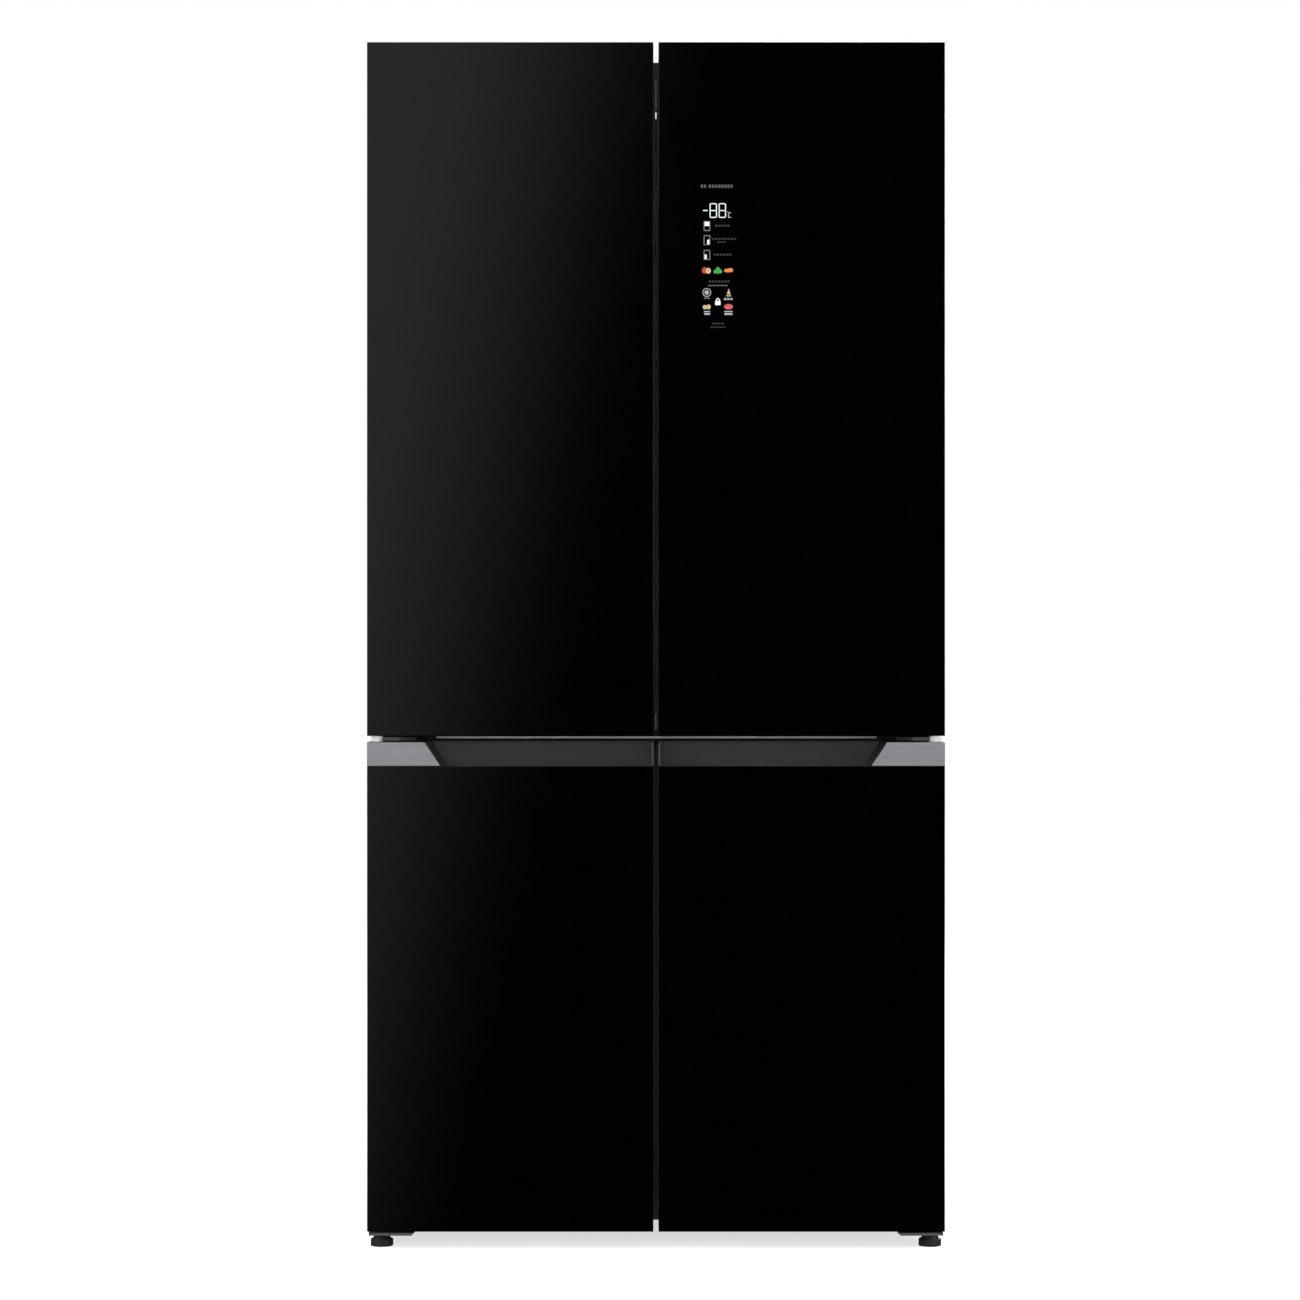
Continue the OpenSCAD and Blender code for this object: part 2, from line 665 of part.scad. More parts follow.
// Open-topped drawer with a thick front and a finger scoop in it; lo and hi are opposite corners
module drawer(lo, hi) {
    wall = 3;
    front_t = 16;
    difference() {
        span(lo, hi);
        span(lo + [wall, front_t, wall], [hi[0] - wall, hi[1] - wall, hi[2] + eps]);
        span([lo[0] + 70, lo[1] - eps, hi[2] - 34], [hi[0] - 70, lo[1] + 12, hi[2] - 8]);
    }
}
module crisper() drawer([-375, -160, fridge_z[0] + 1], [-7, 235, crisper_top]);
module upper_drawer() drawer([-lower_x + 17, -175, 437], [-partition_x - 12, 205, 735]);
module lower_drawer() drawer([-lower_x + 17, -175, lower_z[0] + 1], [-partition_x - 12, step_y - 8, 424]);

module crisper_left() color(clear_grey) crisper();
module crisper_right() color(clear_grey) on_right() crisper();
module freezer_drawer_upper() color(clear_grey) upper_drawer();
module freezer_drawer_lower() color(clear_grey) lower_drawer();
module convertible_drawer_upper() color(clear_grey) on_right() upper_drawer();
module convertible_drawer_lower() color(clear_grey) on_right() lower_drawer();

outer_shell();
back_panel();
insulation_foam();
fridge_liner();
freezer_liner();
convertible_liner();
cross_beam();
partition_cover();
mullion_guide();
top_hinges();
mid_hinges();
bottom_hinges();
hinge_bushes();
hinge_covers();
air_ducts();
evaporator();
led_lamps();
shelf_1();
shelf_2();
shelf_3();
crisper_cover();
base_tray();
machine_cover();
compressor();
condenser();
cord_gland();
fan_rotor();
rear_rollers();
foot_left();
foot_right();
upper_left_glass();
upper_left_frame();
upper_left_liner();
upper_left_gasket();
upper_right_glass();
upper_right_frame();
upper_right_liner();
upper_right_gasket();
lower_left_glass();
lower_left_frame();
lower_left_liner();
lower_left_gasket();
lower_right_glass();
lower_right_frame();
lower_right_liner();
lower_right_gasket();
upper_left_bins();
upper_right_bins();
lower_left_racks();
lower_right_racks();
display_module();
corner_cap_left();
corner_cap_right();
flip_mullion();
crisper_left();
crisper_right();
freezer_drawer_upper();
freezer_drawer_lower();
convertible_drawer_upper();
convertible_drawer_lower();
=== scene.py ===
# A four-door refrigerator with black glass doors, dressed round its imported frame.
# Metres; +Z is up, the doors face -Y, and the origin is on the floor under the middle.
import math

import bmesh
import bpy
from mathutils import Matrix, Vector


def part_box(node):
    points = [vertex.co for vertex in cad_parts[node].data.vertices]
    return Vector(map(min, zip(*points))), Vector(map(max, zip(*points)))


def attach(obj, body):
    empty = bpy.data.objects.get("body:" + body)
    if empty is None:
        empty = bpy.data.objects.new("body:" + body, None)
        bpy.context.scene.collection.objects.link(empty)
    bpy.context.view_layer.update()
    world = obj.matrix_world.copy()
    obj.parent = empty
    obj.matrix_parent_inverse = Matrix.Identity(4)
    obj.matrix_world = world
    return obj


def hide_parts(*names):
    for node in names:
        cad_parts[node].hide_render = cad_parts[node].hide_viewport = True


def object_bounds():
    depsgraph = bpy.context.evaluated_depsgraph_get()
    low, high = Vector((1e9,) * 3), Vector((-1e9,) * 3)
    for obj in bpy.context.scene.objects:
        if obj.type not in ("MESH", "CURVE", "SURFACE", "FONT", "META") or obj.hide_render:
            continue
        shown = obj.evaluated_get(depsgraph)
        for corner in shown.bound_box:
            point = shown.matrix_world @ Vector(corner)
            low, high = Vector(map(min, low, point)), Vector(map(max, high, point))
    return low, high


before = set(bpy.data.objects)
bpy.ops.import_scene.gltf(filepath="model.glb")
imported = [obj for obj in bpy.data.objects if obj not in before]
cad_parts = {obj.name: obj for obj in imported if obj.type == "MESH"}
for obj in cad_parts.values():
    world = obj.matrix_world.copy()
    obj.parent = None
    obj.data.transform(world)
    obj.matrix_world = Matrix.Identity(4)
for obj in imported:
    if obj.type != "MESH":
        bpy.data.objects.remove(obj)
cad_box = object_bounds()
MM = 0.001

# ---------------------------------------------------------------------------------------------
# Studio: a level camera five and a half metres from the doors, a pale floor, soft side lights.
# A dim slanted card stands behind the camera, and the door glass mirrors it as a soft fade.

eye_distance = 5.5
eye_height = 0.945
seen_width = 2.042
front_y = cad_box[0][1]
scene = bpy.context.scene
scene.view_settings.view_transform = "Standard"

camera_data = bpy.data.cameras.new("studio_camera")
camera_data.sensor_width = 36
camera_data.lens = 36 * eye_distance / seen_width
camera = bpy.data.objects.new("studio_camera", camera_data)
camera.location = (-0.0094, front_y - eye_distance, eye_height)
camera.rotation_euler = (math.pi / 2, 0, 0)
scene.collection.objects.link(camera)
scene.camera = camera


def lin(code):
    """A six-digit sRGB hex colour as linear RGBA."""
    out = []
    for i in (0, 2, 4):
        c = int(code[i:i + 2], 16) / 255
        out.append(c / 12.92 if c <= 0.04045 else ((c + 0.055) / 1.055) ** 2.4)
    return (*out, 1.0)


def add(tree, kind, links=None, **settings):
    """One node of that kind; links gives each input its value or the output that feeds it."""
    made = tree.nodes.new(kind)
    for key, value in settings.items():
        setattr(made, key, value)
    for key, value in (links or {}).items():
        if isinstance(value, bpy.types.NodeSocket):
            tree.links.new(value, made.inputs[key])
        else:
            made.inputs[key].default_value = value
    return made


def blank(name):
    """A new material with an empty node tree, and that tree."""
    made = bpy.data.materials.new(name)
    made.use_nodes = True
    made.node_tree.nodes.clear()
    return made, made.node_tree


def out(tree, shader):
    """Joins a shader to the material's surface."""
    add(tree, "ShaderNodeOutputMaterial", {"Surface": shader.outputs[0]})


def show(name, mesh, material):
    """An object made of a mesh and a material, in the scene."""
    made = bpy.data.objects.new(name, mesh)
    scene.collection.objects.link(made)
    mesh.materials.append(material)
    return made


world = bpy.data.worlds.new("studio_air")
world.use_nodes = True
scene.world = world
air = world.node_tree
air.nodes.clear()
paths = add(air, "ShaderNodeLightPath")
direct = add(air, "ShaderNodeBackground", {"Color": (1, 1, 1, 1), "Strength": 1.0})
height = add(air, "ShaderNodeSeparateXYZ", {0: add(air, "ShaderNodeTexCoord").outputs["Generated"]})
fade = add(air, "ShaderNodeMapRange", {"Value": height.outputs["Z"], "From Min": 0.2, "From Max": 0.9,
                                      "To Min": 0.0, "To Max": 0.5})
mirrored = add(air, "ShaderNodeBackground", {"Color": (1, 1, 1, 1), "Strength": fade.outputs[0]})
ambient = add(air, "ShaderNodeBackground", {"Color": (1, 1, 1, 1), "Strength": 0.55})
dull = add(air, "ShaderNodeMixShader", {0: paths.outputs["Is Glossy Ray"], 1: ambient.outputs[0],
                                        2: mirrored.outputs[0]})
seen = add(air, "ShaderNodeMixShader", {0: paths.outputs["Is Camera Ray"], 1: dull.outputs[0],
                                        2: direct.outputs[0]})
add(air, "ShaderNodeOutputWorld", {"Surface": seen.outputs[0]})

# Pale floor: matte paint that glows a little, so only contact shadows show on it
floor_paint, tree = blank("pale studio floor")
grain = add(tree, "ShaderNodeTexNoise", {"Scale": 40.0, "Detail": 3.0})
tint = add(tree, "ShaderNodeMix", {"Factor": grain.outputs["Fac"], 6: lin("F4F4F3"), 7: lin("FBFBFA")},
           data_type="RGBA")
matte = add(tree, "ShaderNodeBsdfDiffuse", {"Color": tint.outputs[2]})
glow = add(tree, "ShaderNodeEmission", {"Color": (1, 1, 1, 1), "Strength": 0.62})
out(tree, add(tree, "ShaderNodeAddShader", {0: matte.outputs[0], 1: glow.outputs[0]}))
floor_mesh = bpy.data.meshes.new("studio_floor")
floor_mesh.from_pydata([(-14, -14, 0), (14, -14, 0), (14, 14, 0), (-14, 14, 0)], [], [(0, 1, 2, 3)])
studio_floor = show("studio_floor", floor_mesh, floor_paint)
studio_floor.visible_glossy = False

# The slanted card. Its inner edge is black and leans; its glow grows outwards and upwards
card_paint, tree = blank("glowing card")
told = add(tree, "ShaderNodeAttribute", attribute_name="glow")
out(tree, add(tree, "ShaderNodeEmission", {"Color": lin("FFFFFF"), "Strength": told.outputs["Fac"]}))
card_y = front_y - eye_distance - 1.1
card_steps = 40
card_low, card_high = -5.0, 5.0
card_outer = -3.2
card_lean = 1.0 / 4.6
edge_x, edge_z = -0.63, -1.3
fade_width = 1.15
fade_curve = 1.3
card_power = 0.49


def card_edge(z):
    """Where the card's leaning inner edge is at a height; it passes through edge_x, edge_z."""
    return card_lean * (z - edge_z) + edge_x


card_mesh = bpy.data.meshes.new("glow_card")
card = bmesh.new()
rows = []
for i in range(2 * card_steps + 1):
    z = card_low + (card_high - card_low) * i / (2 * card_steps)
    inner = card_edge(z)
    rows.append([card.verts.new((inner - (inner - card_outer) * k / card_steps, card_y, z))
                 for k in range(card_steps + 1)])
for a, b in zip(rows, rows[1:]):
    for k in range(card_steps):
        card.faces.new((a[k], b[k], b[k + 1], a[k + 1]))
card.to_mesh(card_mesh)
glow_values = card_mesh.attributes.new("glow", "FLOAT", "POINT")
for spot, vertex in zip(glow_values.data, card_mesh.vertices):
    away = card_edge(vertex.co.z) - vertex.co.x
    share = min(1.0, max(0.0, away / fade_width))
    spot.value = card_power * (share * share * (3 - 2 * share)) ** fade_curve
glow_card = show("glow_card", card_mesh, card_paint)

# Two wide soft boxes stand further out, so the glass has a sheen from the sides as well
cards = [glow_card]
side_steps = 12
outer = 9.0
for side in (-1, 1):
    wide = bmesh.new()
    inner = -card_outer if side < 0 else 1.5
    rows = [[wide.verts.new((side * (inner + (outer - inner) * k / side_steps), card_y - 0.05, z))
             for k in range(side_steps + 1)] for z in (card_low, 0.0, card_high)]
    for a, b in zip(rows, rows[1:]):
        for k in range(side_steps):
            wide.faces.new((a[k], b[k], b[k + 1], a[k + 1]))
    wide_mesh = bpy.data.meshes.new("side_card")
    wide.to_mesh(wide_mesh)
    levels = wide_mesh.attributes.new("glow", "FLOAT", "POINT")
    for spot, vertex in zip(levels.data, wide_mesh.vertices):
        across = (abs(vertex.co.x) - inner) / (outer - inner)
        spot.value = card_power * (1 - 0.75 * across) if side < 0 else 1.1 * across * (1 - across)
    cards.append(show("side_card_" + ("left" if side < 0 else "right"), wide_mesh, card_paint))
for card_object in cards:
    card_object.visible_camera = False
    card_object.visible_diffuse = False
    card_object.visible_shadow = False

for name, stand, aim, size, power in (
        ("key_light", (-3.6, -4.2, 3.4), (0, 0, 1.0), 2.2, 150),
        ("fill_light", (4.2, -3.4, 2.2), (0, 0, 0.9), 2.4, 90),
        ("top_light", (0, 0.4, 4.6), (0, 0, 1.2), 3.0, 120),
        ("back_light", (1.6, 4.6, 2.8), (0, 0, 0.8), 2.4, 140),
        ("front_fill", (0, -5.2, 1.3), (0, 0, 0.9), 2.0, 110)):
    lamp_data = bpy.data.lights.new(name, "AREA")
    lamp_data.size = size
    lamp_data.energy = power
    lamp = bpy.data.objects.new(name, lamp_data)
    lamp.location = stand
    lamp.rotation_euler = (Vector(aim) - Vector(stand)).to_track_quat("-Z", "Y").to_euler()
    lamp.visible_glossy = name != "front_fill"
    scene.collection.objects.link(lamp)

# ---------------------------------------------------------------------------------------------
# Outer shell and cabinet metalwork: folded sheet steel. The shell is powder coated in graphite,
# whose fine orange peel breaks up its highlights; the rear sheets are galvanised steel, whose
# zinc froze in flat crystals some 14 mm across, each a slightly other grey.


def moulded(name, dark, light, grain, rough, relief, metallic=0.0, ior=1.46, coat=0.0, sheen_spread=0.08):
    """A coated or moulded surface. grain is the texture's size and relief its depth, in metres."""
    made, tree = blank(name)
    spot = add(tree, "ShaderNodeTexCoord").outputs["Object"]
    broad = add(tree, "ShaderNodeTexNoise", {"Vector": spot, "Scale": 6.0, "Detail": 4.0})
    fine = add(tree, "ShaderNodeTexNoise", {"Vector": spot, "Scale": 1 / grain, "Detail": 2.0})
    tint = add(tree, "ShaderNodeMix", {"Factor": broad.outputs["Fac"], 6: lin(dark), 7: lin(light)},
               data_type="RGBA")
    gloss = add(tree, "ShaderNodeMapRange", {
        "Value": broad.outputs["Fac"], "From Min": 0.3, "From Max": 0.7,
        "To Min": rough - sheen_spread / 2, "To Max": rough + sheen_spread / 2})
    peel = add(tree, "ShaderNodeBump", {"Height": fine.outputs["Fac"], "Strength": 0.6, "Distance": relief})
    out(tree, add(tree, "ShaderNodeBsdfPrincipled", {
        "Base Color": tint.outputs[2], "Roughness": gloss.outputs[0], "Normal": peel.outputs[0],
        "Metallic": metallic, "IOR": ior, "Coat Weight": coat, "Coat Roughness": 0.08}))
    return made


def dress(material, *names, edge=0.0, steps=2):
    """Gives CAD nodes a material and, where edge is above zero, rounded edges of that radius."""
    for name in names:
        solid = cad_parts[name]
        solid.data.materials.clear()
        solid.data.materials.append(material)
        if edge > 0:
            weld = solid.modifiers.new("weld", "WELD")
            weld.merge_threshold = 0.00002
            bevel = solid.modifiers.new("edges", "BEVEL")
            bevel.width = edge
            bevel.segments = steps
            bevel.limit_method = "ANGLE"
            bevel.angle_limit = math.radians(40)
            bevel.harden_normals = True


graphite_coat = moulded("powder coated steel, graphite", "3A3C40", "424449", 1.6 * MM, 0.42, 0.06 * MM,
                        0.0, 1.5)
galvanised, tree = blank("galvanised steel sheet")
spot = add(tree, "ShaderNodeTexCoord").outputs["Object"]
spangle = add(tree, "ShaderNodeTexVoronoi", {"Vector": spot, "Scale": 1 / (14 * MM)})
level = add(tree, "ShaderNodeSeparateXYZ", {0: spangle.outputs["Color"]})
frost = add(tree, "ShaderNodeMix", {"Factor": level.outputs["X"], 6: lin("868A8E"), 7: lin("939799")},
            data_type="RGBA")
gloss = add(tree, "ShaderNodeMapRange", {"Value": level.outputs["Y"], "To Min": 0.42, "To Max": 0.5})
drawn = add(tree, "ShaderNodeTexNoise", {"Vector": spot, "Scale": 1 / (3 * MM)})
skin = add(tree, "ShaderNodeBump", {"Height": drawn.outputs["Fac"], "Strength": 0.3, "Distance": 0.02 * MM})
out(tree, add(tree, "ShaderNodeBsdfPrincipled", {
    "Base Color": frost.outputs[2], "Roughness": gloss.outputs[0], "Normal": skin.outputs[0],
    "Metallic": 0.7}))
dark_coat = moulded("painted steel, charcoal", "333437", "3D3E42", 1.4 * MM, 0.45, 0.05 * MM, 0.0, 1.5)
dress(graphite_coat, "outer_shell", edge=1.2 * MM)
dress(galvanised, "base_tray", edge=0.5 * MM)
dress(galvanised, "back_panel", edge=1.5 * MM)
dress(dark_coat, "machine_cover")

# ---------------------------------------------------------------------------------------------
# Door glass: four panes of tempered glass, printed black on the back and ground along their edges.
# The polish is near perfect; only a faint waviness from tempering bends what it mirrors.

tempered, tree = blank("black tempered glass")
spot = add(tree, "ShaderNodeTexCoord").outputs["Object"]
wave = add(tree, "ShaderNodeTexNoise", {"Vector": spot, "Scale": 3.2, "Detail": 1.0})
sweep = add(tree, "ShaderNodeBump", {"Height": wave.outputs["Fac"], "Strength": 0.05, "Distance": 0.4 * MM})
smear = add(tree, "ShaderNodeTexNoise", {"Vector": spot, "Scale": 14.0, "Detail": 5.0})
haze = add(tree, "ShaderNodeMapRange", {"Value": smear.outputs["Fac"], "To Min": 0.02, "To Max": 0.06})
print_tint = add(tree, "ShaderNodeMix", {"Factor": smear.outputs["Fac"], 6: lin("000000"), 7: lin("020202")},
                 data_type="RGBA")
out(tree, add(tree, "ShaderNodeBsdfPrincipled", {
    "Base Color": print_tint.outputs[2], "Roughness": haze.outputs[0], "Normal": sweep.outputs[0],
    "IOR": 1.52}))
for side in ("upper_left", "upper_right", "lower_left", "lower_right"):
    dress(tempered, side + "_glass", edge=0.9 * MM, steps=3)

# ---------------------------------------------------------------------------------------------
# Door frames: one moulded ABS surround per door, with the grip scooped out of the lower ones.
# The satin spark texture of the mould keeps them a dull charcoal beside the glass.

satin_abs = moulded("moulded ABS, satin charcoal", "242527", "2C2D2F", 0.9 * MM, 0.42, 0.04 * MM, 0.0, 1.53)
for side in ("upper_left", "upper_right", "lower_left", "lower_right"):
    dress(satin_abs, side + "_frame", edge=0.7 * MM)

# ---------------------------------------------------------------------------------------------
# Corner caps: pressed stainless steel over the outer end of each grip, brushed along its length.
# The brushing stretches highlights across the lines and leaves fine light and dark streaks.

brushed_cap, tree = blank("brushed stainless steel")
spot = add(tree, "ShaderNodeTexCoord").outputs["Object"]
along = add(tree, "ShaderNodeMapping", {"Vector": spot, "Scale": (4.0, 400.0, 1400.0)})
lines = add(tree, "ShaderNodeTexNoise", {"Vector": along.outputs[0], "Scale": 1.0, "Detail": 6.0})
streak = add(tree, "ShaderNodeMix", {"Factor": lines.outputs["Fac"], 6: lin("626266"), 7: lin("9A9A9E")},
             data_type="RGBA")
sheen = add(tree, "ShaderNodeMapRange", {"Value": lines.outputs["Fac"], "To Min": 0.3, "To Max": 0.5})
scratch = add(tree, "ShaderNodeBump", {"Height": lines.outputs["Fac"], "Strength": 0.25,
                                       "Distance": 0.02 * MM})
out(tree, add(tree, "ShaderNodeBsdfPrincipled", {
    "Base Color": streak.outputs[2], "Metallic": 0.6, "Roughness": sheen.outputs[0],
    "Normal": scratch.outputs[0], "Anisotropic": 0.5}))
dress(brushed_cap, "corner_cap_left", "corner_cap_right", edge=0.5 * MM)

# ---------------------------------------------------------------------------------------------
# Cross beam: a folded channel of black painted steel between the two rows of doors, with a
# thin trim strip of satin aluminium clipped along it. The strip shows as one fine light line.


def softened(shape, radius, steps=2):
    """Rounds every sharp edge of a bmesh."""
    sharp = [e for e in shape.edges if len(e.link_faces) == 2 and e.calc_face_angle() > math.radians(30)]
    bmesh.ops.bevel(shape, geom=sharp, offset=radius, offset_type="OFFSET", segments=steps, profile=0.5,
                    affect="EDGES", clamp_overlap=True)


def place(name, shape, material, body):
    """Turns a bmesh into a piece that rides on a body, in the finish that its material stands for."""
    mesh = bpy.data.meshes.new(name)
    bmesh.ops.recalc_face_normals(shape, faces=shape.faces)
    shape.to_mesh(mesh)
    shape.free()
    for face in mesh.polygons:
        face.use_smooth = True
    mesh.set_sharp_from_angle(angle=math.radians(40))
    made = show(name, mesh, material)
    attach(made, body)
    return made


def slab(name, low, high, material, body, radius=0.8 * MM, steps=2):
    """A block between two corners with rounded edges."""
    shape = bmesh.new()
    low, high = Vector(low), Vector(high)
    middle = Matrix.Translation((low + high) / 2)
    bmesh.ops.create_cube(shape, size=1, matrix=middle @ Matrix.Diagonal((*(high - low), 1)))
    softened(shape, radius, steps)
    return place(name, shape, material, body)


def strip(name, outline, along, start, end, material, body, radius=0.6 * MM):
    """An outline drawn across one axis and drawn out along it, from start to end.
    The outline's two numbers are the other two axes in X, Y, Z order."""
    shape = bmesh.new()

    def at(pair, far):
        spot = list(pair)
        spot.insert(along, far)
        return spot
    face = shape.faces.new([shape.verts.new(at(p, start)) for p in outline])
    far = bmesh.ops.extrude_face_region(shape, geom=[face])["geom"]
    shift = Vector(at((0, 0), end - start))
    bmesh.ops.translate(shape, verts=[v for v in far if isinstance(v, bmesh.types.BMVert)], vec=shift)
    softened(shape, radius)
    return place(name, shape, material, body)


satin_aluminium = moulded("anodised aluminium, satin", "C4C4C6", "D6D6D8", 0.5 * MM, 0.45, 0.01 * MM,
                          0.35, 1.5)
satin_aluminium["slot"] = "beam_steel"
beam_coat = moulded("painted steel, black", "121213", "19191A", 1.4 * MM, 0.45, 0.04 * MM, 0.0, 1.5)
dress(beam_coat, "cross_beam", edge=0.4 * MM)
beam_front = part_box("cross_beam")[0][1]
trim_left, trim_right = -0.350, 0.352
trim_z = 0.804
trim_tall = 3.2 * MM
slab("beam_trim", (trim_left, beam_front - 1.2 * MM, trim_z),
     (trim_right, beam_front + 0.1 * MM, trim_z + trim_tall), satin_aluminium, "cabinet", 0.4 * MM)

# ---------------------------------------------------------------------------------------------
# Hinges: stamped steel brackets, painted charcoal where they show, with nylon bushes on the pins.
# Pan-head screws with a cross recess hold them to the cabinet.

nylon = moulded("moulded nylon, natural white", "DEDED8", "ECECE6", 0.8 * MM, 0.4, 0.02 * MM, 0.0, 1.53)
dress(dark_coat, "mid_hinges", "bottom_hinges", edge=0.6 * MM)
dress(nylon, "hinge_bushes", edge=0.3 * MM)
dress(satin_abs, "hinge_covers", edge=2.5 * MM, steps=3)
zinc = moulded("zinc plated steel", "A9ACAE", "C4C6C8", 0.7 * MM, 0.3, 0.01 * MM, 1.0, 1.5)
zinc["slot"] = "hinge_steel"


def screw(name, at, facing, radius, body):
    """A pan-head screw with a cross recess. at is where its head meets the part it holds."""
    shape = bmesh.new()
    turns = 24
    rise = radius * 0.55
    rings = []
    for r, h in ((radius, 0), (radius, rise * 0.35), (radius * 0.86, rise * 0.8), (radius * 0.55, rise),
                 (radius * 0.45, rise)):
        rings.append([shape.verts.new((r * math.cos(a), r * math.sin(a), h))
                      for a in (2 * math.pi * i / turns for i in range(turns))])
    for low, high in zip(rings, rings[1:]):
        for i in range(turns):
            shape.faces.new((low[i], low[(i + 1) % turns], high[(i + 1) % turns], high[i]))
    shape.faces.new(rings[0][::-1])
    cross = []
    for i, v in enumerate(rings[-1]):
        reach = 1 if i % 6 < 1 else 0.35
        cross.append(shape.verts.new((v.co.x * reach, v.co.y * reach, rise - radius * 0.3)))
    for i in range(turns):
        shape.faces.new((rings[-1][i], rings[-1][(i + 1) % turns], cross[(i + 1) % turns], cross[i]))
    shape.faces.new(cross)
    turn = Vector((0, 0, 1)).rotation_difference(Vector(facing)).to_matrix().to_4x4()
    shape.transform(Matrix.Translation(at) @ turn)
    return place(name, shape, zinc, body)


cabinet_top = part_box("outer_shell")[1][2]
hinge_x = 0.44
pin_back = 25
flange_x, flange_z = 0.430, 0.798
flange_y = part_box("mid_hinges")[1][1] - 4 * MM
for side in (-1, 1):
    tag = "left" if side < 0 else "right"
    for i, (inset, back) in enumerate(((26, 113), (47, 113), (36, 158))):
        spot = (side * (hinge_x - inset * MM), front_y + (pin_back + back) * MM, cabinet_top + 4 * MM)
        screw(f"top_hinge_screw_{tag}_{i}", spot, (0, 0, 1), 5.5 * MM, "cabinet")
    for i, inset in enumerate((14, 40)):
        spot = (side * (flange_x - inset * MM), flange_y, flange_z)
        screw(f"mid_hinge_screw_{tag}_{i}", spot, (0, -1, 0), 3.6 * MM, "cabinet")

# ---------------------------------------------------------------------------------------------
# Feet and rollers: nylon levelling feet on threaded studs under the bottom brackets, and two hard
# nylon rollers at the back, so the cabinet can be tipped and wheeled.

black_nylon = moulded("moulded nylon, black", "161617", "1F1F21", 0.8 * MM, 0.5, 0.03 * MM, 0.0, 1.53)
black_nylon["slot"] = "black_abs"
dress(black_nylon, "foot_left", "foot_right", edge=0.5 * MM)
dress(black_nylon, "rear_rollers", edge=1.0 * MM)

# ---------------------------------------------------------------------------------------------
# Magnetic gaskets: extruded soft PVC with a magnet inside and a thin lip at the middle.
# The soft skin scatters light evenly, so they look dull beside the glass and the liners.

soft_pvc = moulded("extruded PVC, grey", "3A3A3C", "444447", 0.6 * MM, 0.62, 0.04 * MM, 0.0, 1.52)
for side in ("upper_left", "upper_right", "lower_left", "lower_right"):
    dress(soft_pvc, side + "_gasket", edge=1.2 * MM, steps=3)

# ---------------------------------------------------------------------------------------------
# Liners: vacuum formed high impact polystyrene over rigid foam, smooth and softly glossy.
# Its corners are rounded by the forming.

white_liner = moulded("vacuum formed polystyrene, white", "CACBCA", "CFD0CF", 2.2 * MM, 0.3, 0.02 * MM,
                      0.0, 1.59, sheen_spread=0.02)
dress(white_liner, "fridge_liner", "freezer_liner", "convertible_liner", "mullion_guide", edge=1.2 * MM)
for side in ("upper_left", "upper_right", "lower_left", "lower_right"):
    dress(white_liner, side + "_liner", edge=1.6 * MM, steps=3)
dress(satin_abs, "partition_cover", "flip_mullion", edge=0.6 * MM)

pu_foam, tree = blank("polyurethane foam")
spot = add(tree, "ShaderNodeTexCoord").outputs["Object"]
cells = add(tree, "ShaderNodeTexVoronoi", {"Vector": spot, "Scale": 420.0})
cell_tint = add(tree, "ShaderNodeMix", {"Factor": cells.outputs["Distance"], 6: lin("E2D291"),
                                        7: lin("F0E6B8")}, data_type="RGBA")
dent = add(tree, "ShaderNodeBump", {"Height": cells.outputs["Distance"], "Strength": 0.8,
                                    "Distance": 0.5 * MM})
out(tree, add(tree, "ShaderNodeBsdfPrincipled", {
    "Base Color": cell_tint.outputs[2], "Roughness": 0.9, "Normal": dent.outputs[0]}))
dress(pu_foam, "insulation_foam")

# ---------------------------------------------------------------------------------------------
# Display: a printed light guide behind the right upper glass. White and coloured marks shine
# through clear windows in the black print: digits, three compartment marks, foods, a tree, a fan
# and a lock. Plain bars stand where the real one has words. Sizes here are in millimetres.

front = front_y - 0.1 * MM
mark_depth = 0.15 * MM


def shining(name, code, power):
    """Lit print: a colour that glows and is a little uneven, as light from one side makes it."""
    made, tree = blank(name)
    spot = add(tree, "ShaderNodeTexCoord").outputs["Object"]
    patchy = add(tree, "ShaderNodeTexNoise", {"Vector": spot, "Scale": 90.0})
    level = add(tree, "ShaderNodeMapRange", {"Value": patchy.outputs["Fac"], "To Min": power * 0.8,
                                             "To Max": power * 1.2})
    out(tree, add(tree, "ShaderNodeBsdfPrincipled", {
        "Base Color": lin("101010"), "Roughness": 0.2, "Emission Color": lin(code),
        "Emission Strength": level.outputs[0]}))
    made["slot"] = "lamp"
    return made


lit_white = shining("lit print, white", "F4F8FF", 1.1)
lit_red = shining("lit print, red", "D8503E", 0.85)
lit_green = shining("lit print, green", "4CB84A", 0.85)
lit_orange = shining("lit print, orange", "EE9048", 0.95)
lit_cream = shining("lit print, cream", "E8D09A", 0.8)
lit_pink = shining("lit print, rose", "E06468", 0.9)


def mark(name, outlines, material):
    """A flat lit mark on the glass: each outline is a list of (x, z) corners in millimetres."""
    shape = bmesh.new()
    for outline in outlines:
        face = shape.faces.new([shape.verts.new((x * MM, front, z * MM)) for x, z in outline])
        far = bmesh.ops.extrude_face_region(shape, geom=[face])["geom"]
        moved = [v for v in far if isinstance(v, bmesh.types.BMVert)]
        bmesh.ops.translate(shape, verts=moved, vec=(0, mark_depth, 0))
    return place(name, shape, material, "door_upper_right")


def bar(x, z, w, h):
    """Corners of an upright rectangle with its lower left corner at x, z."""
    return [(x, z), (x + w, z), (x + w, z + h), (x, z + h)]


